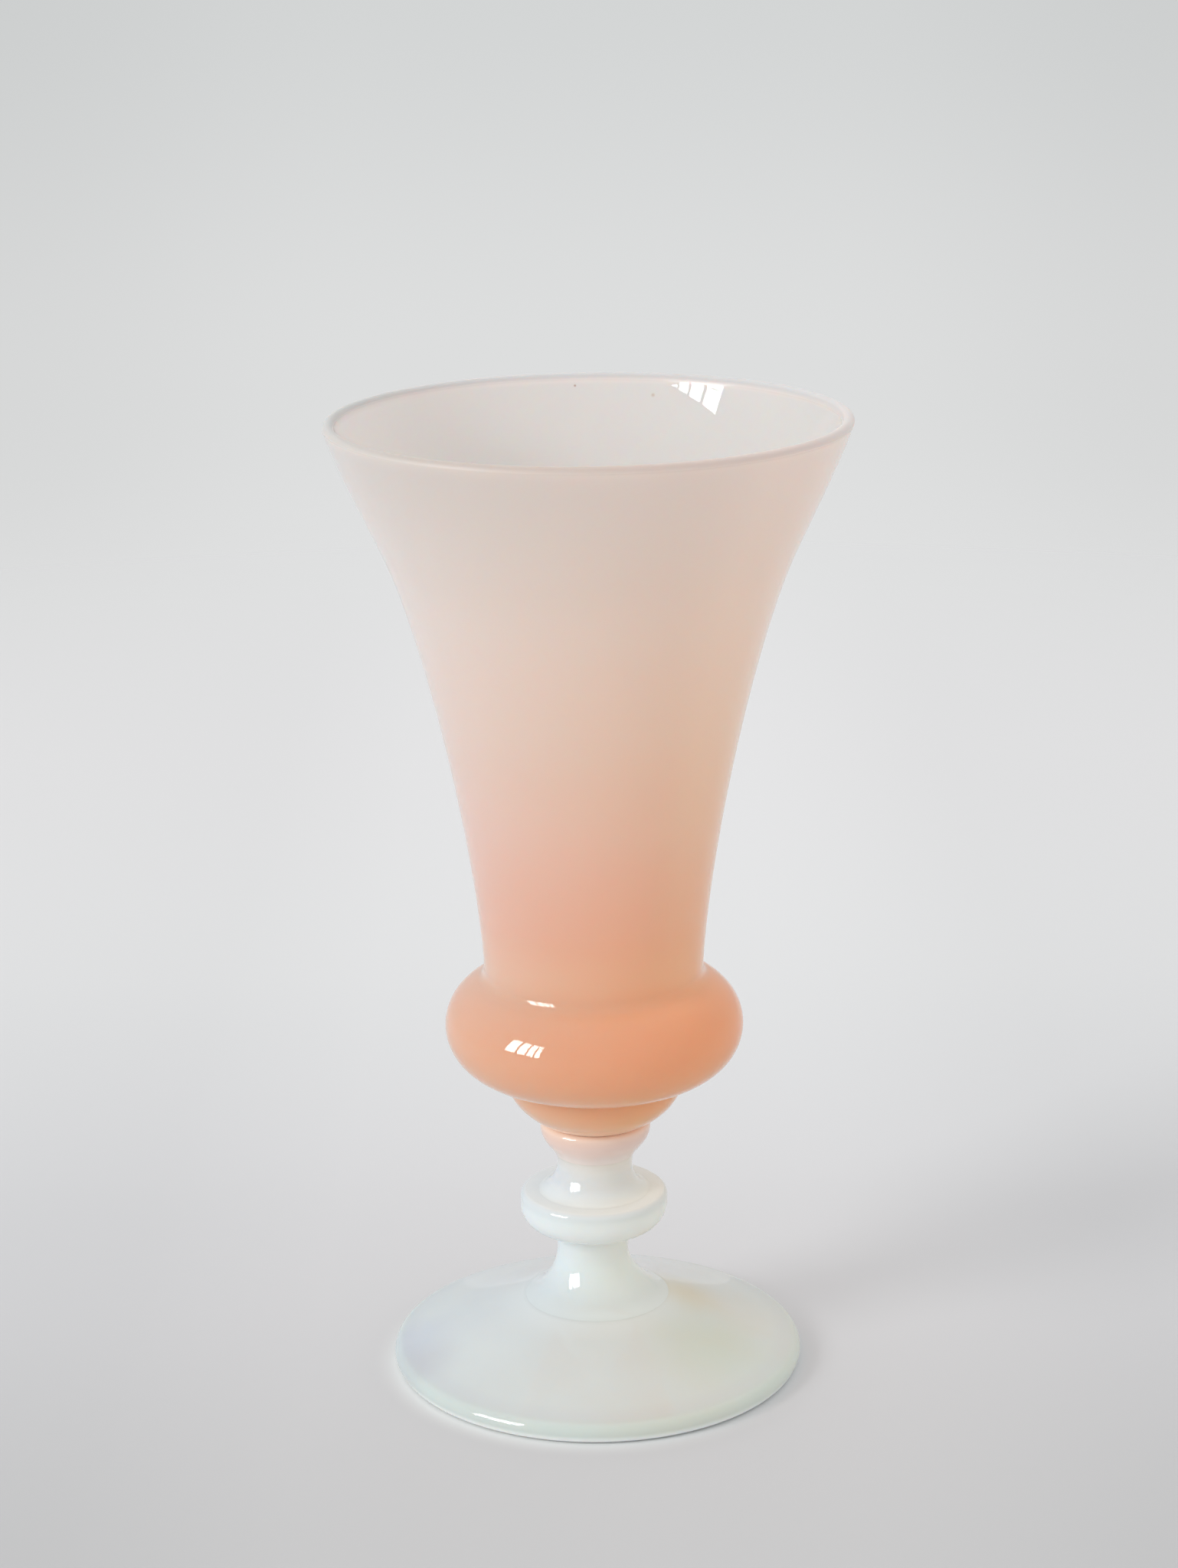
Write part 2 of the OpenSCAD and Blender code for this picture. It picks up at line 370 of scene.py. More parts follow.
def tintPatches(tree, coords, colour, patches):
    # each patch has its middle, how far it reaches, and the tint that it lays over the glass
    for middle, reach, tint in patches:
        apart = addNode(tree, "ShaderNodeVectorMath", {0: coords, 1: middle}, operation="DISTANCE")
        share = mapRange(tree, apart.outputs["Value"], 0.0, reach, 1.0, 0.0, smooth=True)
        colour = mixColours(tree, share, colour, tint, "MULTIPLY")
    return colour


def milkiness(tree, parts, heights, reach):
    # the milk thins out at these joints, where light couldn't pass from one piece's glass to the next
    nearest = None
    for height in heights:
        apart = maths(tree, "ABSOLUTE", maths(tree, "SUBTRACT", parts["Z"], height))
        nearest = apart if nearest is None else maths(tree, "MINIMUM", nearest, apart)
    return mapRange(tree, nearest, opaline["clearCore"] * reach, reach, smooth=True)


def finishGlass(tree, shader, coords, parts, glass, colour, joints, lip=None):
    # fire-polished glass: shiny, with faint smears and slow waves, and dull only where lip is 1
    tree.links.new(colour, shader.inputs["Base Color"])
    tree.links.new(milkiness(tree, parts, joints, glass["jointReach"]), shader.inputs["Subsurface Weight"])
    smear = noiseOf(tree, coords, opaline["smearScale"], detail=3.0, offset=7.0)
    gloss = mapRange(tree, smear, *opaline["smearRange"], *glass["gloss"])
    if lip is not None:
        gloss = mapRange(tree, lip, 0.0, 1.0, gloss, glass["lipRoughness"])
    tree.links.new(gloss, shader.inputs["Roughness"])
    rippleBump(tree, coords, shader, *glass["ripple"])


pinkGlass = {
    "body": {
        "IOR": 1.5, "Subsurface Radius": (1.0, 0.7, 0.55), "Subsurface Scale": 2.5 * mm,
        "Sheen Weight": 0.2, "Sheen Roughness": 0.3,
    },
    "colours": (  # share of the height from the cup to the lip, and the colour there; the two lowest stops are paler, painted light against the shade where the cup meets the collar
        (0.0, paint(255, 218, 194)), (0.016, paint(255, 214, 188)), (0.026, paint(255, 204, 171)),
        (0.06, paint(255, 196, 160)), (0.12, paint(253, 192, 158)), (0.20, paint(241, 185, 156)),
        (0.25, paint(249, 203, 177)), (0.32, paint(251, 205, 186)), (0.45, paint(250, 218, 208)),
        (0.58, paint(247, 227, 220)), (0.72, paint(245, 232, 228)), (0.84, paint(242, 234, 232)),
        (1.0, paint(239, 234, 234)),
    ),
    "awaySideShade": paint(255, 234, 206),  # painted shade: a darker, deeper tint on the side that faces away from the window
    "awaySideAngle": -15.0,  # compass angle that this side faces, from +X towards +Y
    "awaySideShadeHeights": (0.5, 1.0),  # share of the height over which that tint thins out
    "awaySideShadeAtLip": 0.4,  # share of that tint that is left at the lip
    "litSideShade": (  # painted shade: share of the height, and the tint there that darkens the side that faces the window
        (0.0, paint(238, 249, 255)), (0.22, paint(236, 246, 254)), (0.36, paint(236, 237, 237)),
        (0.85, paint(239, 240, 238)), (1.0, paint(230, 231, 228)),
    ),
    "litSideAngle": -150.0,
    "sideSpread": (0.4, 1.0),  # how far round that tint and the lip's reach, from 0 opposite to 1 there
    "unevenness": 0.05,  # how far the colour bands wander up and down, as a share of the height
    "unevenHeights": (0.05, 0.3),  # share of the height over which they begin to wander
    "wanderScale": 22.0,
    "wanderStretch": (1.0, 1.0, 0.6),
    "insideMilk": paint(234, 232, 229),
    "insideShare": 0.7,
    "insideLitShade": paint(239, 244, 247),  # painted shade: darkens the side of the inside that the window shines on
    "insideLitAngle": 15.0,
    # painted shade: the lip is darker than the wall, greyish at the back and pinker at the front
    "lipBackShade": paint(203, 204, 205),
    "lipFrontShade": paint(209, 196, 190),
    "lipFrontSide": -75.0,
    "lipHeights": (0.986, 0.996),  # share of the height over which the wall's colour turns to the lip's
    "lipRoughness": 0.9,
    "seeds": (  # specks caught in the glass: middle, reach and tint
        ((-2.69 * mm, 48.91 * mm, 197.18 * mm), 0.4 * mm, paint(210, 180, 160)),
        ((13.53 * mm, 46.38 * mm, 195.48 * mm), 0.6 * mm, paint(238, 224, 212)),
    ),
    "jointReach": 2.5 * mm,  # how far from a joint the milk begins to thin out
    "gloss": (0.005, 0.015),  # roughness of the shiniest and of the dullest smear
    "ripple": (0.25, 0.4 * mm, 38.0),  # strength, depth and fineness of the slow waves
}

# the cup's thick glass lets light less deep in
cupGlass = dict(pinkGlass, **{
    "body": dict(pinkGlass["body"], **{"Subsurface Scale": 0.8 * mm}),
    "jointReach": 0.8 * mm,
})


def makePinkGlass(name, glass):
    material, tree, shader = startGlass(name, glass["body"])
    coords, parts = objectPlace(tree)
    wander = noiseOf(tree, coords, glass["wanderScale"], detail=2.0, stretch=glass["wanderStretch"])
    wander = maths(tree, "SUBTRACT", wander, 0.5)
    rise = mapRange(tree, parts["Z"], lowOf("base_cup"), topOf("bowl"))
    freedom = mapRange(tree, rise, *glass["unevenHeights"], 0.0, glass["unevenness"])
    share = maths(tree, "ADD", rise, maths(tree, "MULTIPLY", wander, freedom))
    colour = rampOf(tree, share, glass["colours"])
    # painted shade: the side away from the window is tinted darker and deeper, less so towards the lip
    depth = mapRange(tree, rise, *glass["awaySideShadeHeights"], 1.0, glass["awaySideShadeAtLip"])
    side = maths(tree, "MULTIPLY", sideOf(tree, parts, glass["awaySideAngle"]), depth)
    colour = mixColours(tree, side, colour, glass["awaySideShade"], "MULTIPLY")
    inside = addNode(tree, "ShaderNodeAttribute", attribute_name="inside").outputs["Fac"]
    milk = maths(tree, "MULTIPLY", inside, glass["insideShare"])
    colour = mixColours(tree, milk, colour, glass["insideMilk"])
    # painted shade on the side of the inside that the window lights
    side = maths(tree, "MULTIPLY", inside, sideOf(tree, parts, glass["insideLitAngle"]))
    colour = mixColours(tree, side, colour, glass["insideLitShade"], "MULTIPLY")
    # painted shade: the lip is darker than the wall, pinker at the front
    side = mapRange(tree, sideOf(tree, parts, glass["lipFrontSide"]), *glass["sideSpread"])
    lip = mixColours(tree, side, glass["lipBackShade"], glass["lipFrontShade"])
    nearLip = mapRange(tree, rise, *glass["lipHeights"], smooth=True)
    colour = mixColours(tree, nearLip, colour, lip)
    # painted shade: darkens the outside of the side that faces the window, the lip too
    side = mapRange(tree, sideOf(tree, parts, glass["litSideAngle"]), *glass["sideSpread"])
    side = maths(tree, "MULTIPLY", side, maths(tree, "SUBTRACT", 1.0, inside))
    colour = mixColours(tree, side, colour, rampOf(tree, rise, glass["litSideShade"]), "MULTIPLY")
    colour = tintPatches(tree, coords, colour, glass["seeds"])
    joints = (lowOf("base_cup"), topOf("collar"), topOf("base_cup"))
    finishGlass(tree, shader, coords, parts, glass, colour, joints, nearLip)
    return material


stemJoints = [lowOf(name) for name in ("lower_stem", "knop", "neck", "collar", "base_cup")]
stemJoints.append(topOf("collar"))

# what the collar, the stem and the foot share
paleGlass = {
    "body": {"IOR": 1.5, "Subsurface Radius": (1.0, 0.85, 0.75), "Subsurface Scale": 2.5 * mm},
    "jointReach": 2.5 * mm,
    "gloss": (0.01, 0.025),
    "ripple": (0.2, 0.3 * mm, 55.0, 0.12),  # the last is the share of the tool's rings
}

whiteGlass = dict(paleGlass, **{
    # painted light: the white is bluer on the side toward the window, where light scatters in the glass, and
    # warmer on the far side, where light comes through it
    "litSideCool": paint(229, 238, 243),
    "farSideWarm": paint(245, 245, 235),
    "farSideAngle": -20.0,  # compass angle that the far, warmer side faces, from +X towards +Y
    "milk": paint(245, 250, 250),
    "cloudiness": 0.6,  # how much milk the clouds add at their thickest
    "cloudScale": 45.0,
    "cloudRange": (0.35, 0.75),  # part of the noise between the thinnest and the thickest cloud
    "across": (),  # share of the foot's radius, and the tint there, of which the stem has none
    "upward": (  # share of the height from the foot to the collar, and the tint there: painted light and shade, darker at the bell's foot, lighter under the knop and in the groove at the neck's foot, darker on the knop's top edge, and peach near the collar where the pink glass shines down
        (0.0, paint(232, 234, 234)), (0.1, paint(239, 240, 240)), (0.25, paint(250, 252, 252)),
        (0.45, paint(253, 253, 253)), (0.55, paint(253, 252, 253)), (0.67, paint(247, 249, 250)),
        (0.71, paint(238, 241, 243)), (0.737, paint(241, 245, 248)), (0.744, paint(252, 254, 254)),
        (0.756, paint(249, 252, 253)), (0.8, paint(246, 247, 249)), (0.84, paint(242, 241, 243)),
        (0.92, paint(246, 242, 241)), (1.0, paint(251, 240, 233)),
    ),
    "patches": (),
    "bright": paint(250, 254, 252),  # colour of the very bottom, where the table lights it
    "brightHeights": (2.2 * mm, 0.6 * mm),
})

footGlass = dict(whiteGlass, **{
    # the foot's own greyer white, with the same painted light
    "litSideCool": paint(213, 221, 225),
    "farSideWarm": paint(222, 221, 212),
    "milk": paint(220, 227, 227),
    # share of the foot's radius, and the tint there: painted light and shade, paler round the bell and
    # darker near the edge
    "across": (
        (0.0, paint(255, 255, 255)), (0.35, paint(255, 255, 255)), (0.5, paint(252, 252, 252)),
        (0.86, paint(251, 252, 252)), (0.94, paint(246, 247, 248)), (0.98, paint(242, 247, 244)),
    ),
    "upward": (),
    "stirScale": 90.0,  # how fine the loose edges of the patches are
    "stirReach": 3 * mm,
    "patches": (  # painted light: coloured light that comes through the glass, amber, greenish, bluish and lilac; middle, reach and tint
        ((18 * mm, 4 * mm, 11 * mm), 13 * mm, paint(255, 246, 228)),
        ((24 * mm, -15 * mm, 8 * mm), 20 * mm, paint(249, 251, 242)),
        ((-38 * mm, -3 * mm, 5 * mm), 13 * mm, paint(248, 248, 254)),
        ((-37 * mm, -14 * mm, 3 * mm), 12 * mm, paint(243, 241, 245)),
    ),
})


def makeWhiteGlass(name, glass):
    material, tree, shader = startGlass(name, glass["body"])
    coords, parts = objectPlace(tree)
    # painted light: bluer toward the window, warmer on the far side
    side = sideOf(tree, parts, glass["farSideAngle"])
    tint = mixColours(tree, side, glass["litSideCool"], glass["farSideWarm"])
    clouds = noiseOf(tree, coords, glass["cloudScale"], detail=3.0, offset=1.3)
    clouds = mapRange(tree, clouds, *glass["cloudRange"], 0.0, glass["cloudiness"])
    colour = mixColours(tree, clouds, tint, glass["milk"])
    # painted light and shade across the foot
    if glass["across"]:
        spread = mapRange(tree, acrossOf(tree, parts), 0.0, radiusOf("foot"))
        colour = mixColours(tree, 1.0, colour, rampOf(tree, spread, glass["across"]), "MULTIPLY")
    # painted light and shade up the stem
    if glass["upward"]:
        rise = mapRange(tree, parts["Z"], topOf("foot"), lowOf("collar"))
        colour = mixColours(tree, 1.0, colour, rampOf(tree, rise, glass["upward"]), "MULTIPLY")
    # painted light: patches of coloured light that comes through the glass
    if glass["patches"]:
        loose = stirred(tree, coords, glass["stirScale"], glass["stirReach"])
        colour = tintPatches(tree, loose, colour, glass["patches"])
    bottom = mapRange(tree, parts["Z"], *glass["brightHeights"], smooth=True)
    colour = mixColours(tree, bottom, colour, glass["bright"])
    finishGlass(tree, shader, coords, parts, glass, colour, stemJoints)
    return material


collarGlass = dict(paleGlass, **{
    "colours": (  # share of the height from the neck to the collar's lip, and the colour there: painted light, peach where the pink cup shines through the thin lip and fading downwards, palest at the very lip against the shade where it meets the cup
        (0.0, paint(245, 231, 223)), (0.3, paint(242, 222, 213)), (0.7, paint(240, 212, 199)),
        (0.86, paint(244, 216, 200)), (1.0, paint(253, 226, 208)),
    ),
})


def makeCollarGlass(name, glass):
    material, tree, shader = startGlass(name, glass["body"])
    coords, parts = objectPlace(tree)
    share = mapRange(tree, parts["Z"], lowOf("collar"), topOf("collar"))
    # painted light: the pink of the cup, shining through the collar, runs up its height
    finishGlass(tree, shader, coords, parts, glass, rampOf(tree, share, glass["colours"]), stemJoints)
    return material


# bowl: trumpet and hollow ring in one blown wall

bowl = {
    "rimLean": 19.0,  # how many degrees the wall leans out at the lip
    "rimWall": 2.2 * mm,
    "lipShare": 0.3,  # the shares say how far a curve follows its direction at this end
    "flareDrop": 27 * mm,  # how far under the lip the flare is measured
    "flareDiameter": 81.4 * mm,
    "flareLean": 23.6,
    "flareShare": 0.22,
    "creaseDiameter": 44.8 * mm,  # narrowest part, just above the ring
    "creaseLean": 2.6,
    "creaseRise": 1.6 * mm,  # how far above the ring it is
    "creaseAngle": 62.0,  # where on the ring's round side the crease begins
    "creaseShare": 0.27,
    "ringDiameter": 61.2 * mm,
    "ringHeight": 21.6 * mm,
    "ringWall": 3.2 * mm,
}


def bowlOutline():
    gap = turning["jointGap"]
    low = lowOf("bowl") + gap
    seat = radiusOf("base_cup")
    lipRadius = bowl["rimWall"] / 2
    lip = Vector((radiusOf("bowl") - lipRadius, topOf("bowl") - lipRadius))
    lipStart = lip + lipRadius * slope(bowl["rimLean"])
    ring = Vector((seat, low + bowl["ringHeight"] / 2))
    ringSize = (bowl["ringDiameter"] / 2 - seat, bowl["ringHeight"] / 2)
    side = arcPoints(ring, ringSize, -quarterTurn, bowl["creaseAngle"], steps=40)
    turn = math.radians(bowl["creaseAngle"])
    leaving = Vector((-ringSize[0] * math.sin(turn), ringSize[1] * math.cos(turn)))
    crease = Vector((bowl["creaseDiameter"] / 2, low + bowl["ringHeight"] + bowl["creaseRise"]))
    creaseWay = lean(bowl["creaseLean"])
    flare = Vector((bowl["flareDiameter"] / 2, topOf("bowl") - bowl["flareDrop"]))
    flareWay = lean(bowl["flareLean"])
    lipShare = bowl["lipShare"]
    outside = joinRuns(
        side,
        blendPoints(side[-1], leaving, crease, creaseWay),
        curvePoints(crease, creaseWay, flare, flareWay, bowl["creaseShare"], bowl["flareShare"], steps=40),
        curvePoints(flare, flareWay, lipStart, lean(bowl["rimLean"]), lipShare, lipShare),
    )
    inside = []  # the same run, moved in by the wall, which thins towards the lip
    for i, point in enumerate(outside):
        along = (outside[min(i + 1, len(outside) - 1)] - outside[max(i - 1, 0)]).normalized()
        if i == 0:
            along = Vector((1.0, 0.0))
        if i == len(outside) - 1:
            along = lean(bowl["rimLean"])
        share = (point.y - low) / (lipStart.y - low)
        wall = bowl["ringWall"] + (bowl["rimWall"] - bowl["ringWall"]) * share
        inside.append(point + wall * Vector((-along.y, along.x)))
    halfTurn = 2 * quarterTurn
    lipArc = arcPoints(lip, (lipRadius, lipRadius), -bowl["rimLean"], halfTurn - bowl["rimLean"], steps=16)
    opening = arcPoints(Vector((seat, low)), (bowl["ringWall"], bowl["ringWall"]), quarterTurn, halfTurn)
    return joinRuns(outside, lipArc), joinRuns(reversed(inside), opening, [outside[0]])


# base cup: thick-bottomed, closes the bowl

cup = {"floor": 6 * mm}  # thickness of its bottom


def cupOutline():
    gap = turning["jointGap"]
    top = topOf("base_cup") - gap
    centre = Vector((0.0, top))
    radius = radiusOf("base_cup")
    height = top - lowOf("base_cup") - gap
    hollow = (radius - bowl["ringWall"], height - cup["floor"])
    outside = arcPoints(centre, (radius, height), -quarterTurn, 0.0, steps=40)
    return outside, arcPoints(centre, hollow, 0.0, -quarterTurn, steps=32)


# collar: grips the bottom of the cup

collar = {
    "wrap": 34.0,  # how far up the cup's round side the collar reaches, in degrees
    "edge": 1.2 * mm,  # height of its rounded lip
    "neckDiameter": 16.4 * mm,
    "flareDirection": Vector((0.55, 1.0)),
    "lipDirection": Vector((-1.0, 0.25)),
}


def collarOutline():
    gap = turning["jointGap"]
    low = lowOf("collar") + gap
    cupTop = topOf("base_cup")
    cupSize = (radiusOf("base_cup") + gap, cupTop - lowOf("base_cup") + gap)
    seat = arcPoints(Vector((0.0, cupTop)), cupSize, -quarterTurn, collar["wrap"] - quarterTurn, steps=24)
    widest = Vector((radiusOf("collar"), seat[-1].y - collar["edge"]))
    start = Vector((collar["neckDiameter"] / 2, low))
    return joinRuns(
        [Vector((0.0, low))],
        blendPoints(start, collar["flareDirection"], widest, upward, steps=16),
        blendPoints(widest, upward, seat[-1], collar["lipDirection"], steps=10),
        reversed(seat),
    )


# neck: drawn in between the collar and the knop

neck = {
    "waistDiameter": 15.7 * mm,
    "waistHeight": 5.2 * mm,
    "waistShare": 0.3,
    "footDirection": Vector((-1.0, 0.12)),  # nearly flat, so that the neck runs out over the knop
    "footShare": 0.3,
}


def neckOutline():
    gap = turning["jointGap"]
    low, top = lowOf("neck") + gap, topOf("neck") - gap
    waist = Vector((neck["waistDiameter"] / 2, low + neck["waistHeight"]))
    foot = Vector((radiusOf("neck"), low))
    head = Vector((collar["neckDiameter"] / 2, top))
    footShare, waistShare = neck["footShare"], neck["waistShare"]
    return joinRuns(
        [Vector((0.0, low))],
        curvePoints(foot, neck["footDirection"], waist, upward, footShare, waistShare, steps=24),
        blendPoints(waist, upward, head, collar["flareDirection"], steps=10),
        [Vector((0.0, top))],
    )


# knop: thick disc, very round below and crisp above

knop = {
    "lowRounding": 4.8 * mm,
    "topRounding": 1.3 * mm,
    "topAngle": 86.0,  # how far round the upper edge goes, so that the top rises a little to the neck
}


def knopOutline():
    gap = turning["jointGap"]
    low, top = lowOf("knop") + gap, topOf("knop") - gap
    radius = radiusOf("knop")
    lowRounding, topRounding = knop["lowRounding"], knop["topRounding"]
    lowCentre = Vector((radius - lowRounding, low + lowRounding))
    topCentre = Vector((radius - topRounding, top - topRounding))
    return joinRuns(
        [Vector((0.0, low))],
        arcPoints(lowCentre, (lowRounding, lowRounding), -quarterTurn, 0.0, steps=20),
        arcPoints(topCentre, (topRounding, topRounding), 0.0, knop["topAngle"], steps=10),
        [Vector((radiusOf("neck"), top)), Vector((0.0, top))],
    )


# lower stem: a post that spreads into a bell on the foot

stem = {
    "postDiameter": 14.8 * mm,
    "bellHeight": 10.4 * mm,
    "lowShare": 0.35,  # how far the bell follows the foot's slope
    "highShare": 0.31,  # and how far it follows the post
}


def stemOutline():
    gap = turning["jointGap"]
    low, top = lowOf("lower_stem") + gap, topOf("lower_stem") - gap
    post = stem["postDiameter"] / 2
    bell = Vector((radiusOf("lower_stem"), low))
    bellTop = Vector((post, low + stem["bellHeight"]))
    lowShare, highShare = stem["lowShare"], stem["highShare"]
    return joinRuns(
        [Vector((0.0, low))],
        curvePoints(bell, -slope(foot["slope"]), bellTop, upward, lowShare, highShare, steps=32),
        [Vector((post, top)), Vector((0.0, top))],
    )


# foot: shallow cone with a rounded edge, hollow underneath

foot = {
    "edge": 4.4 * mm,  # thickness at the rounded edge
    "slope": 24.0,  # how steeply the cone falls under the bell, in degrees
    "edgeSlope": 16.0,  # and at the edge
    "curveShare": 0.33,
    "restWidth": 2.5 * mm,  # flat ring that it stands on
    "hollow": 9.6 * mm,  # depth of the hollow underneath
    "spotDiameter": 18 * mm,  # flat spot in its middle
    "hollowDirection": Vector((-0.85, 0.5)),
    "spotDirection": Vector((-1.0, 0.1)),
}


def footOutline():
    gap = turning["jointGap"]
    low, top = lowOf("foot"), topOf("foot") - gap
    edge = foot["edge"] / 2
    centre = Vector((radiusOf("foot") - edge, low + edge))
    edgeStart = centre + edge * lean(foot["edgeSlope"])
    pad = Vector((radiusOf("lower_stem"), top))
    restIn = Vector((centre.x - foot["restWidth"], low))
    spot = Vector((foot["spotDiameter"] / 2, low + foot["hollow"]))
    share = foot["curveShare"]
    return joinRuns(
        [Vector((0.0, top))],
        curvePoints(pad, slope(foot["slope"]), edgeStart, slope(foot["edgeSlope"]), share, share, steps=32),
        arcPoints(centre, (edge, edge), quarterTurn - foot["edgeSlope"], -quarterTurn, steps=24),
        curvePoints(restIn, foot["hollowDirection"], spot, foot["spotDirection"], share, share, steps=32),
        [Vector((0.0, spot.y))],
    )


pink = makePinkGlass("pinkOpaline", pinkGlass)
cupPink = makePinkGlass("cupOpaline", cupGlass)
white = makeWhiteGlass("whiteOpaline", whiteGlass)
footWhite = makeWhiteGlass("footOpaline", footGlass)
pale = makeCollarGlass("collarOpaline", collarGlass)
print("glass mixed")

bowlOutside, bowlInside = bowlOutline()
cupOutside, cupInside = cupOutline()
turnGlass("pink_bowl", bowlOutside, pink, "bowl", bowlInside)
turnGlass("pink_cup", cupOutside, cupPink, "base_cup", cupInside)
turnGlass("pale_collar", collarOutline(), pale, "collar")
turnGlass("stem_neck", neckOutline(), white, "neck")
turnGlass("stem_knop", knopOutline(), white, "knop")
turnGlass("stem_bell", stemOutline(), white, "lower_stem")
turnGlass("cone_foot", footOutline(), footWhite, "foot")

# stage: a pale table that melts into a pale room

stageSet = {
    "radius": 1.1,
    "facets": 96,
    "level": -0.02 * mm,  # just under the foot, so that the two don't share a face
    "roughness": 0.75,
    "shine": 0.2,
    "fade": (0.42, 1.0),  # distances from the vase between which the table melts into the room
    "depths": (-0.1, 0.46),  # nearest and farthest part of the table that its colours are given for
    # painted light and shade: the table is darker towards the front and lighter towards the back
    "tableColours": (
        (0.0, paint(202, 203, 204)), (0.18, paint(214, 215, 217)), (0.35, paint(222, 223, 225)),
        (0.6, paint(230, 231, 232)), (1.0, paint(234, 234, 235)),
    ),
    "tintDepths": (0.3, 0.6),  # share of the depth over which the tints across the table thin out
    "tintLeft": 0.65,  # share of them that is left beyond
    "widths": (-0.12, 0.12),  # leftmost and rightmost part of the table that the tints are given for
    # painted shade: the table is a little darker towards its left and right
    "tableTints": (
        (0.0, paint(243, 243, 243)), (0.1, paint(245, 245, 245)), (0.25, paint(251, 251, 251)),
        (0.7, paint(255, 255, 255)), (1.0, paint(246, 246, 246)),
    ),
    "glow": paint(230, 231, 231),  # where light that comes through the foot falls on the table
    "glowReach": 5 * mm,
    "glowFall": 2.0,  # 1 fades evenly, and more fades sooner
    "glowSide": -130.0,  # compass angle of the side where it is brightest
    "roomHeights": (-0.28, -0.05),  # how far a line of sight falls, over which the room's colours are given
    "roomColours": ((0.0, paint(229, 230, 230)), (0.5, paint(221, 222, 222)), (1.0, paint(211, 213, 213))),
    "roomEdges": (0.06, 0.17),  # how far aside a line of sight leans, over which the room darkens a little
    "edgeTint": paint(248, 248, 248),
    "roomLight": 0.885,  # strength of the even light from all sides
}


def makeTable():
    mesh = bpy.data.meshes.new("table")
    radius = stageSet["radius"]
    rim = []
    for i in range(stageSet["facets"]):
        angle = 2 * math.pi * i / stageSet["facets"]
        rim.append((radius * math.cos(angle), radius * math.sin(angle), stageSet["level"]))
    mesh.from_pydata(rim, [], [list(range(len(rim)))])
    table = bpy.data.objects.new("table", mesh)
    bpy.context.scene.collection.objects.link(table)
    material = bpy.data.materials.new("paleTable")
    material.use_nodes = True
    tree = material.node_tree
    shader = tree.nodes["Principled BSDF"]
    shader.inputs["Roughness"].default_value = stageSet["roughness"]
    shader.inputs["Specular IOR Level"].default_value = stageSet["shine"]
    parts = objectPlace(tree)[1]
    depth = mapRange(tree, parts["Y"], *stageSet["depths"])
    width = mapRange(tree, parts["X"], *stageSet["widths"])
    # painted light and shade across the table
    colour = rampOf(tree, depth, stageSet["tableColours"])
    near = mapRange(tree, depth, *stageSet["tintDepths"], 1.0, stageSet["tintLeft"])
    colour = mixColours(tree, near, colour, rampOf(tree, width, stageSet["tableTints"]), "MULTIPLY")
    apart = acrossOf(tree, parts)
    glow = mapRange(tree, apart, radiusOf("foot"), radiusOf("foot") + stageSet["glowReach"], 1.0, 0.0)
    glow = maths(tree, "POWER", glow, stageSet["glowFall"])
    glow = maths(tree, "MULTIPLY", glow, sideOf(tree, parts, stageSet["glowSide"]))
    tree.links.new(mixColours(tree, glow, colour, stageSet["glow"]), shader.inputs["Base Color"])
    fade = mapRange(tree, apart, *stageSet["fade"], smooth=True)
    clear = addNode(tree, "ShaderNodeBsdfTransparent")
    mix = addNode(tree, "ShaderNodeMixShader", {0: fade, 1: shader.outputs[0], 2: clear.outputs[0]})
    tree.links.new(mix.outputs[0], tree.nodes["Material Output"].inputs["Surface"])
    mesh.materials.append(material)


def makeRoom():
    world = bpy.data.worlds.new("paleRoom")
    bpy.context.scene.world = world
    world.use_nodes = True
    tree = world.node_tree
    light = tree.nodes["Background"]
    light.inputs["Color"].default_value = (1.0, 1.0, 1.0, 1.0)
    light.inputs["Strength"].default_value = stageSet["roomLight"]
    coords = addNode(tree, "ShaderNodeTexCoord").outputs["Generated"]
    sight = addNode(tree, "ShaderNodeSeparateXYZ", {"Vector": coords}).outputs
    height = mapRange(tree, sight["Z"], *stageSet["roomHeights"])
    edge = mapRange(tree, maths(tree, "ABSOLUTE", sight["X"]), *stageSet["roomEdges"], smooth=True)
    colour = rampOf(tree, height, stageSet["roomColours"])
    colour = mixColours(tree, edge, colour, stageSet["edgeTint"], "MULTIPLY")
    seen = addNode(tree, "ShaderNodeBackground", {"Color": colour})
    path = addNode(tree, "ShaderNodeLightPath").outputs
    direct = maths(tree, "ADD", path["Is Camera Ray"], path["Is Glossy Ray"])
    direct = maths(tree, "MINIMUM", maths(tree, "ADD", direct, path["Is Transmission Ray"]), 1.0)
    mix = addNode(tree, "ShaderNodeMixShader", {0: direct, 1: light.outputs[0], 2: seen.outputs[0]})
    tree.links.new(mix.outputs[0], tree.nodes["World Output"].inputs["Surface"])


makeTable()
makeRoom()

# light: a window of bright panes to the left for the reflections, and a soft lamp in its place for the light

window = {
    "azimuth": 57.0,  # degrees to the left of the camera, seen from the vase
    "distance": 1.6,
    "firstPane": (0.162, 0.402),  # how far left of the window's middle its widest pane begins and ends
    "columns": 4,
    "shrink": 0.77,  # each pane to the right is narrower than the one before, by this factor
    "bar": 0.23,  # share of a pane's width
    "rows": ((0.34, 1.0), (1.01, 1.13)),  # heights above the table between which each row of panes lies
    "paneLight": 18.0,  # brightness of a pane, where a sheet of white in full light is 1
    "softLight": 9.4,  # the same measure for the soft lamp, which lights the glass but isn't mirrored in it
    "softSize": 0.55,
    "softHeight": 0.9,
    "softAim": 0.1,  # height above the table that it points at
}


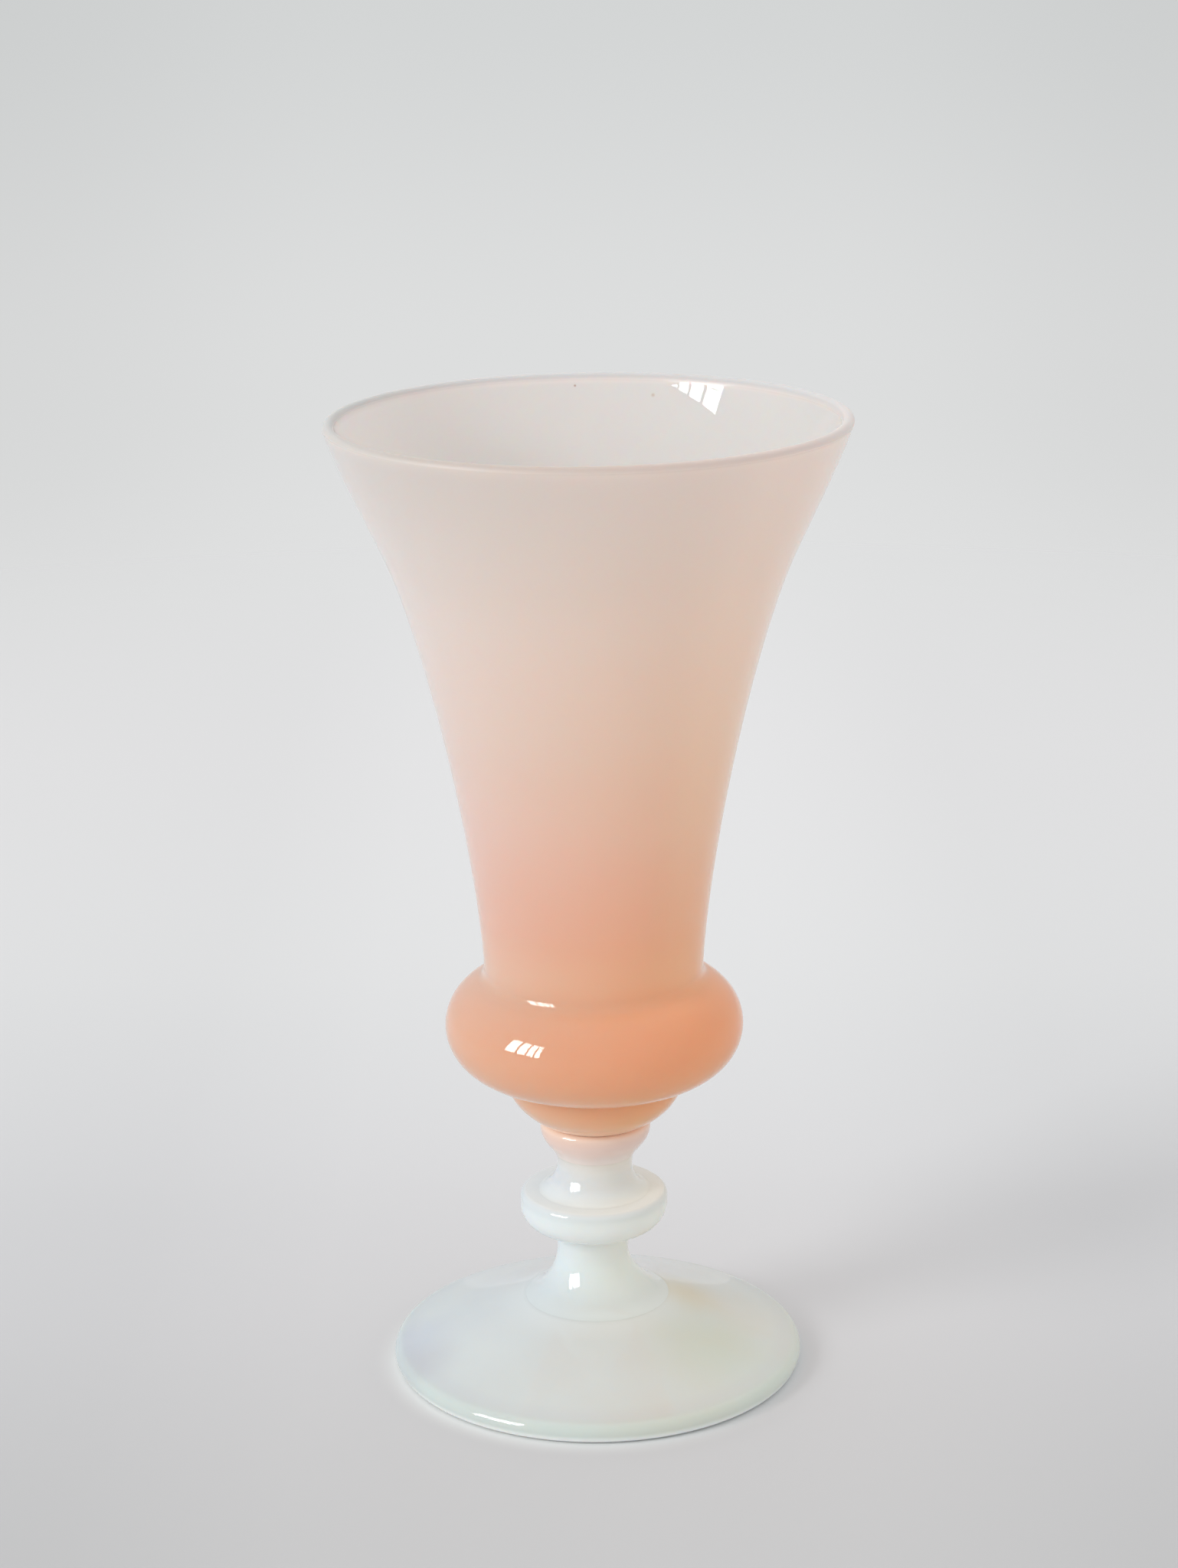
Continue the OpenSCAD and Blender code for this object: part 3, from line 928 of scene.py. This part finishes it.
def addLamp(name, spot, target, size, brightness):
    lamp = bpy.data.lights.new(name, "AREA")
    lamp.shape = "RECTANGLE"
    lamp.size, lamp.size_y = size
    lamp.energy = brightness * math.pi * size[0] * size[1]
    placed = bpy.data.objects.new(name, lamp)
    bpy.context.scene.collection.objects.link(placed)
    placed.location = spot
    placed.rotation_euler = (target - spot).to_track_quat("-Z", "Y").to_euler()
    placed.visible_camera = False
    return placed


def makeWindow():
    turn = math.radians(window["azimuth"])
    toward = Vector((-math.sin(turn), -math.cos(turn), 0.0))
    across = Vector((-toward.y, toward.x, 0.0))
    foot = toward * window["distance"]
    right, left = window["firstPane"]
    for column in range(window["columns"]):
        width = left - right
        for row, (low, high) in enumerate(window["rows"]):
            spot = foot - across * (left + right) / 2 + Vector((0.0, 0.0, (low + high) / 2))
            size = (width, high - low)
            pane = addLamp(f"pane_{column}_{row}", spot, spot - toward, size, window["paneLight"])
            pane.visible_diffuse = False
        left = right - width * window["bar"]
        right = left - width * window["shrink"]
    spot = foot + Vector((0.0, 0.0, window["softHeight"]))
    size = (window["softSize"], window["softSize"])
    soft = addLamp("softWindow", spot, Vector((0.0, 0.0, window["softAim"])), size, window["softLight"])
    soft.visible_glossy = False
    soft.visible_transmission = False


makeWindow()
print("stage and light set")

# camera: a little above the lip, looking down at the vase from the front

cameraSet = {
    "lens": 79.73,  # focal length in millimetres, for a sensor this wide
    "sensor": 36.0,
    "away": 0.66898,  # in front of the vase's middle line
    "height": 0.32186,  # above the table
    "pitch": 16.398,  # degrees that it looks down
    "turnLeft": 0.05,
    "roll": 0.6,
    "nearest": 0.01,  # what is nearer than this isn't drawn
}


def makeCamera():
    data = bpy.data.cameras.new("camera")
    data.lens = cameraSet["lens"]
    data.sensor_width = cameraSet["sensor"]
    data.clip_start = cameraSet["nearest"]
    camera = bpy.data.objects.new("camera", data)
    bpy.context.scene.collection.objects.link(camera)
    turned = Matrix.Rotation(math.radians(cameraSet["turnLeft"]), 4, "Z")
    pitched = Matrix.Rotation(math.radians(quarterTurn - cameraSet["pitch"]), 4, "X")
    rolled = Matrix.Rotation(math.radians(-cameraSet["roll"]), 4, "Z")
    place = Matrix.Translation((0.0, -cameraSet["away"], cameraSet["height"]))
    camera.matrix_world = place @ turned @ pitched @ rolled
    bpy.context.scene.camera = camera


makeCamera()
bpy.context.scene.view_settings.view_transform = "Standard"
